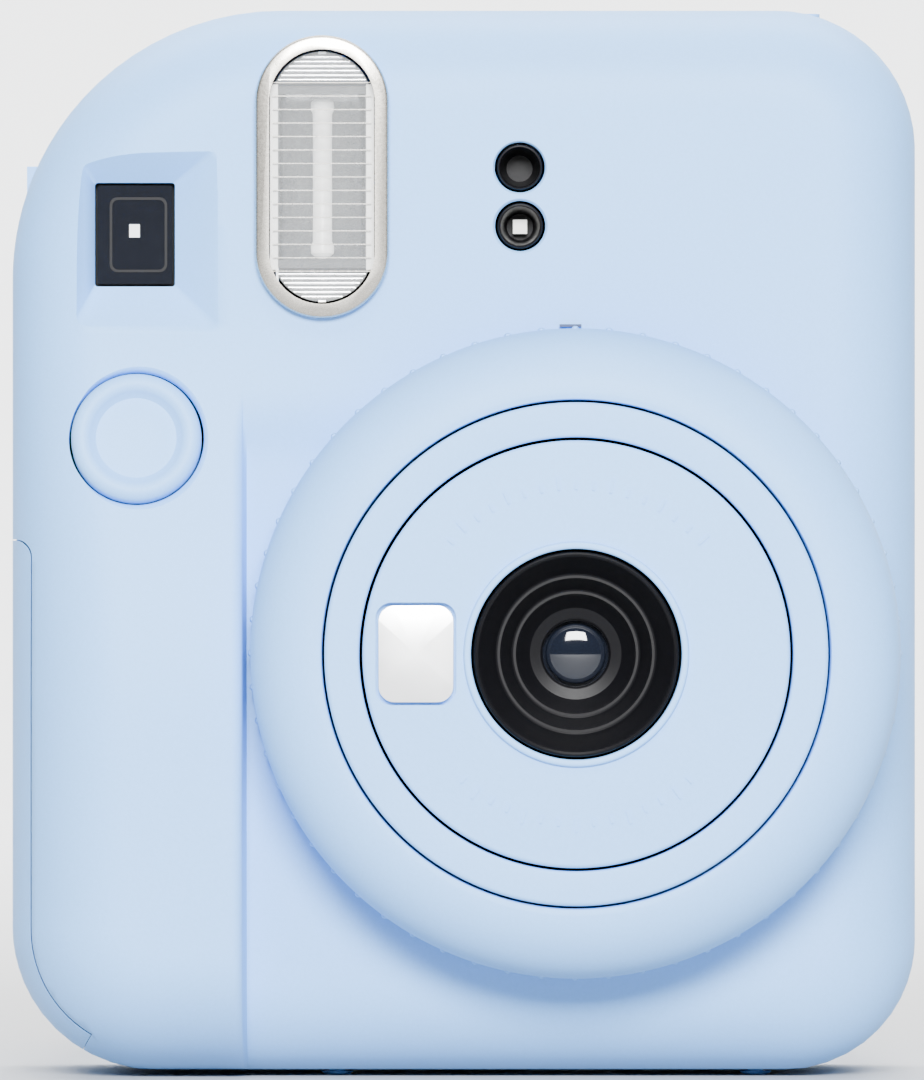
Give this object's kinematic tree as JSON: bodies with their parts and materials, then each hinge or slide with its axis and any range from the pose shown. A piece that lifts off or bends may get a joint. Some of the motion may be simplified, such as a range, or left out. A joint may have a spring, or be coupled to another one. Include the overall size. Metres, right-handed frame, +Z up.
{
  "type": "instant camera",
  "caption": "Rounded upright instant film camera with a twist-out lens barrel, flash, viewfinder, hand grip, hinged film door at the back and battery door at the side.",
  "frame": {"origin": "on the surface the camera stands on, below the middle of its overall box", "axes": "+Z up, +X to the right seen from the front, the lens looks along -Y"},
  "size_m": [0.104, 0.0666, 0.123],
  "materials": {
    "body_blue": "satin moulded plastic, pastel blue, fine spark texture",
    "black_plastic": "matt black moulded plastic",
    "dark_plastic": "dark grey moulded plastic",
    "white_plastic": "white acetal",
    "nickel_trim": "champagne nickel, brushed",
    "reflector_chrome": "bright chromed reflector",
    "mirror_face": "polished mirror",
    "steel": "bright steel",
    "clear_plastic": "clear moulded optic",
    "circuit_board": "green solder mask",
    "cell_jacket": "plain cell jacket without marks"
  },
  "bodies": {
    "camera_body": {"front_cover": "body_blue", "rear_cover": "body_blue", "film_exit_bezel": "body_blue", "strap_lug_left": "body_blue", "strap_lug_right": "body_blue", "foot_front_left": "body_blue", "foot_front_right": "body_blue", "foot_rear_left": "body_blue", "foot_rear_right": "body_blue", "lens_mount": "black_plastic", "dark_box": "black_plastic", "chassis": "black_plastic", "viewfinder_tube": "black_plastic", "eyepiece_frame": "black_plastic", "light_sensor_cup_upper": "black_plastic", "light_sensor_cup_lower": "black_plastic", "battery_holder": "dark_plastic", "flash_capacitor": "dark_plastic", "shutter_switch": "dark_plastic", "light_sensor": "white_plastic", "flash_bezel": "nickel_trim", "battery_contact_bridge": "nickel_trim", "flash_reflector": "reflector_chrome", "shutter_button_spring": "steel", "roller_bracket_left": "steel", "roller_bracket_right": "steel", "drive_motor": "steel", "film_door_hinge_pin": "steel", "battery_door_hinge_pin": "steel", "flash_lens": "clear_plastic", "flash_tube": "clear_plastic", "viewfinder_window": "clear_plastic", "eyepiece_lens": "clear_plastic", "counter_window": "clear_plastic", "main_board": "circuit_board", "battery_front": "cell_jacket", "battery_rear": "cell_jacket"},
    "lens_ring": {"lens_ring": "body_blue"},
    "outer_barrel": {"outer_barrel": "body_blue"},
    "inner_barrel": {"inner_barrel": "body_blue", "selfie_mirror": "mirror_face", "lens_hood": "black_plastic", "front_lens_element": "clear_plastic", "rear_lens_element": "clear_plastic", "shutter_housing": "black_plastic", "shutter_base": "dark_plastic"},
    "shutter_blade_left": {"shutter_blade_left": "steel"},
    "shutter_blade_right": {"shutter_blade_right": "steel"},
    "shutter_button": {"shutter_button": "body_blue"},
    "film_door": {"film_door": "body_blue", "pack_window": "clear_plastic", "pressure_spring": "steel"},
    "door_latch": {"film_door_latch": "body_blue"},
    "battery_cover": {"battery_door": "body_blue"},
    "feed_roller_front": {"feed_roller_front": "steel"},
    "feed_roller_rear": {"feed_roller_rear": "steel"},
    "idler_gear": {"idler_gear": "white_plastic"},
    "motor_pinion": {"motor_pinion": "white_plastic"},
    "film_pick": {"film_pick": "steel"},
    "frame_counter_dial": {"frame_counter_dial": "white_plastic"}
  },
  "joints": [
    {"name": "ring_twist", "type": "hinge", "parent": "camera_body", "child": "lens_ring", "pos_m": [0.0127, -0.0152, 0.0488], "axis": [0, -1, 0], "range_deg": [0, 75]},
    {"name": "outer_barrel_slide", "type": "slide", "parent": "camera_body", "child": "outer_barrel", "axis": [0, -1, 0], "range_m": [0, 0.008]},
    {"name": "inner_barrel_slide", "type": "slide", "parent": "outer_barrel", "child": "inner_barrel", "axis": [0, -1, 0], "range_m": [0, 0.007]},
    {"name": "shutter_blade_left_swing", "type": "hinge", "parent": "inner_barrel", "child": "shutter_blade_left", "pos_m": [0.0017, -0.0182, 0.0578], "axis": [0, 1, 0], "range_deg": [0, 45]},
    {"name": "shutter_blade_right_swing", "type": "hinge", "parent": "inner_barrel", "child": "shutter_blade_right", "pos_m": [0.0237, -0.0174, 0.0578], "axis": [0, -1, 0], "range_deg": [0, 45]},
    {"name": "shutter_press", "type": "slide", "parent": "camera_body", "child": "shutter_button", "axis": [0, 0.9877, -0.1564], "range_m": [0, 0.0012], "stiffness_N_per_m": 300},
    {"name": "film_door_hinge", "type": "hinge", "parent": "camera_body", "child": "film_door", "pos_m": [0.0502, 0.0271, 0.055], "axis": [0, 0, -1], "range_deg": [0, 100]},
    {"name": "latch_slide", "type": "slide", "parent": "film_door", "child": "door_latch", "axis": [0, 0, -1], "range_m": [0, 0.0026], "stiffness_N_per_m": 200},
    {"name": "battery_door_hinge", "type": "hinge", "parent": "camera_body", "child": "battery_cover", "pos_m": [-0.0508, 0.0079, 0.04], "axis": [0, 0, -1], "range_deg": [0, 85]},
    {"name": "front_roller_spin", "type": "hinge", "parent": "camera_body", "child": "feed_roller_front", "pos_m": [0.0127, 0.0112, 0.1076], "axis": [1, 0, 0], "continuous": true},
    {"name": "rear_roller_spin", "type": "hinge", "parent": "camera_body", "child": "feed_roller_rear", "pos_m": [0.0127, 0.0178, 0.1076], "axis": [1, 0, 0], "continuous": true},
    {"name": "idler_spin", "type": "hinge", "parent": "camera_body", "child": "idler_gear", "pos_m": [0.0446, 0.00452, 0.10209], "axis": [1, 0, 0], "continuous": true},
    {"name": "pinion_spin", "type": "hinge", "parent": "camera_body", "child": "motor_pinion", "pos_m": [0.0446, -0.00073, 0.09684], "axis": [1, 0, 0], "continuous": true},
    {"name": "pick_slide", "type": "slide", "parent": "camera_body", "child": "film_pick", "axis": [0, 0, 1], "range_m": [0, 0.008]},
    {"name": "counter_turn", "type": "hinge", "parent": "camera_body", "child": "frame_counter_dial", "pos_m": [-0.037, 0.0264, 0.0285], "axis": [0, 1, 0], "range_deg": [0, 300]}
  ],
  "couplings": [
    {"joint": "outer_barrel_slide", "follows": "ring_twist", "m_per_rad": 0.0061115},
    {"joint": "inner_barrel_slide", "follows": "ring_twist", "m_per_rad": 0.0053475},
    {"joint": "shutter_blade_right_swing", "follows": "shutter_blade_left_swing", "ratio": 1},
    {"joint": "rear_roller_spin", "follows": "front_roller_spin", "ratio": -1},
    {"joint": "idler_spin", "follows": "front_roller_spin", "ratio": -0.61538},
    {"joint": "pinion_spin", "follows": "front_roller_spin", "ratio": 1.6}
  ]
}
